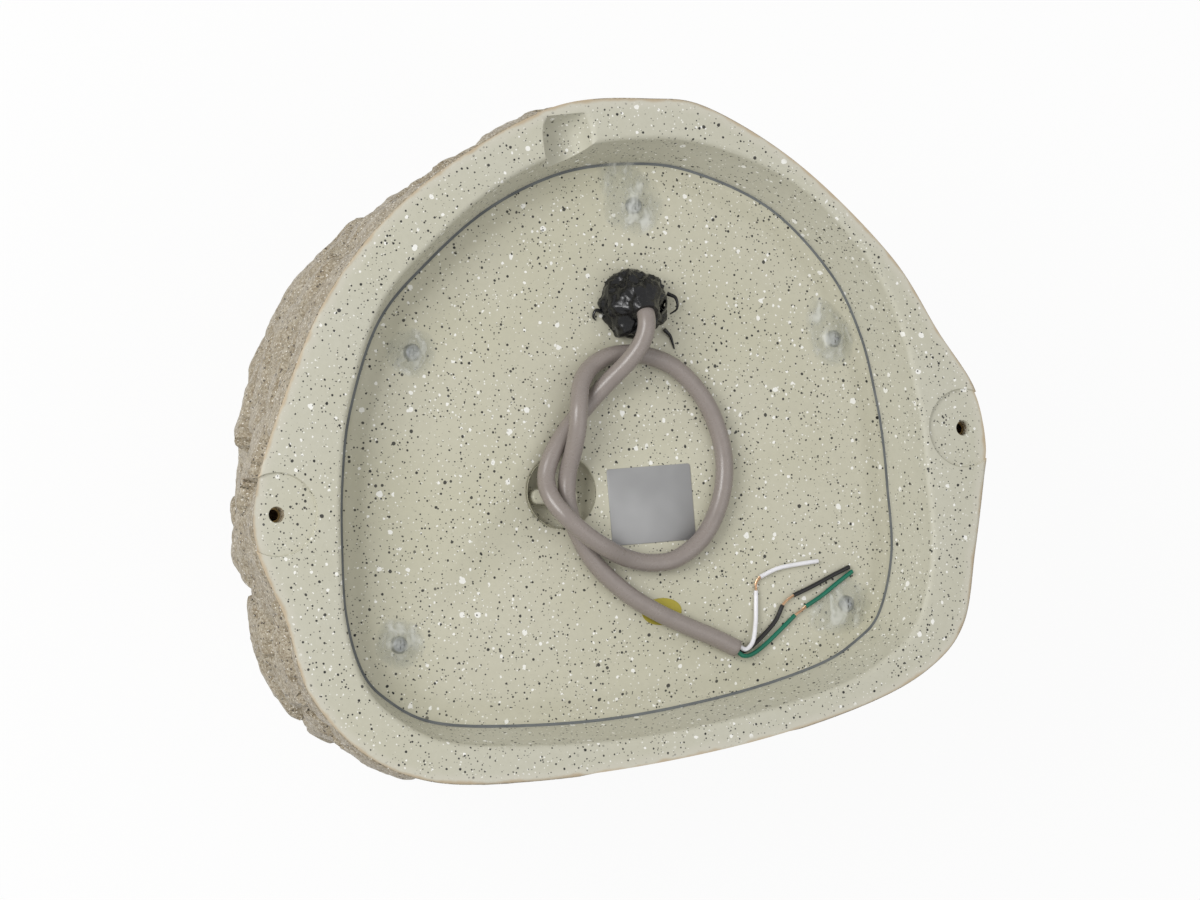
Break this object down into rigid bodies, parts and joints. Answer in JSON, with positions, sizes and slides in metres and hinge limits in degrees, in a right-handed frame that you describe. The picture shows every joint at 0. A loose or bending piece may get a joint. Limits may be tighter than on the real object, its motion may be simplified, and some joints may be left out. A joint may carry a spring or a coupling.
{
  "type": "garden loudspeaker in an artificial rock",
  "caption": "Hollow artificial rock housing a loudspeaker, lying on its crown with the sealed base panel and its cable facing up.",
  "frame": {"origin": "on the floor under the middle of the base rim, at the height of the flat crown", "axes": "+Z out of the base rim, upwards as the part lies, +X along the longer width to the right, +Y to the back, where the cable notch is; the loudspeaker faces -Y"},
  "size_m": [0.3438, 0.3, 0.24],
  "materials": {
    "rock": "rough moulded artificial rock, sand coloured",
    "panel": "speckled moulded resin",
    "gasket": "dull grey foam rubber",
    "steel": "zinc plated steel",
    "sealant": "cloudy clear silicone",
    "insert": "machined brass",
    "putty": "glossy black putty",
    "jacket": "satin grey jacket",
    "core_white": "white insulation",
    "core_black": "black insulation",
    "core_green": "green insulation",
    "copper": "bright stranded copper",
    "label": "blank silver foil",
    "sticker": "blank gold foil paper",
    "grille_trim": "dark moulded trim",
    "cloth": "black acoustic cloth",
    "grille": "powder coated brown grey",
    "basket": "black painted steel",
    "surround": "black rubber roll",
    "cone": "black moulded cone",
    "spider": "yellow treated cloth",
    "winding": "enamelled copper winding",
    "plate": "plated steel",
    "ferrite": "dark ferrite",
    "post": "black moulded post",
    "tweeter": "black dome unit",
    "strip": "brown laminate",
    "black_screw": "black oxide steel",
    "lamination": "varnished steel laminations",
    "wrap": "yellow winding tape",
    "frame": "zinc plated strap",
    "board": "green circuit board",
    "capacitor": "blue sleeve",
    "lead_red": "red insulated wire",
    "lead_black": "black insulated wire"
  },
  "bodies": {
    "root": {"rock_shell": "rock", "base_panel": "panel", "panel_gasket": "gasket", "panel_screws": "steel", "screw_sealant": "sealant", "insert_left": "insert", "insert_right": "insert", "cable_seal": "putty", "cable": "jacket", "white_core": "core_white", "black_core": "core_black", "green_core": "core_green", "bare_strands": "copper", "rating_label": "label", "inspection_sticker": "sticker", "grille_ring": "grille_trim", "grille_cloth": "cloth", "speaker_grille": "grille", "driver_gasket": "gasket", "driver_basket": "basket", "cone_surround": "surround", "woofer_cone": "cone", "spider": "spider", "voice_coil": "winding", "top_plate": "plate", "magnet": "ferrite", "back_plate": "plate", "tweeter_bridge": "post", "tweeter": "tweeter", "terminal_strip": "strip", "driver_screws": "black_screw", "transformer_core": "lamination", "transformer_coil": "wrap", "transformer_frame": "frame", "crossover_board": "board", "crossover_capacitor": "capacitor", "inner_screws": "steel", "inner_cable": "jacket", "lead_red": "lead_red", "lead_black": "lead_black"}
  },
  "joints": []
}
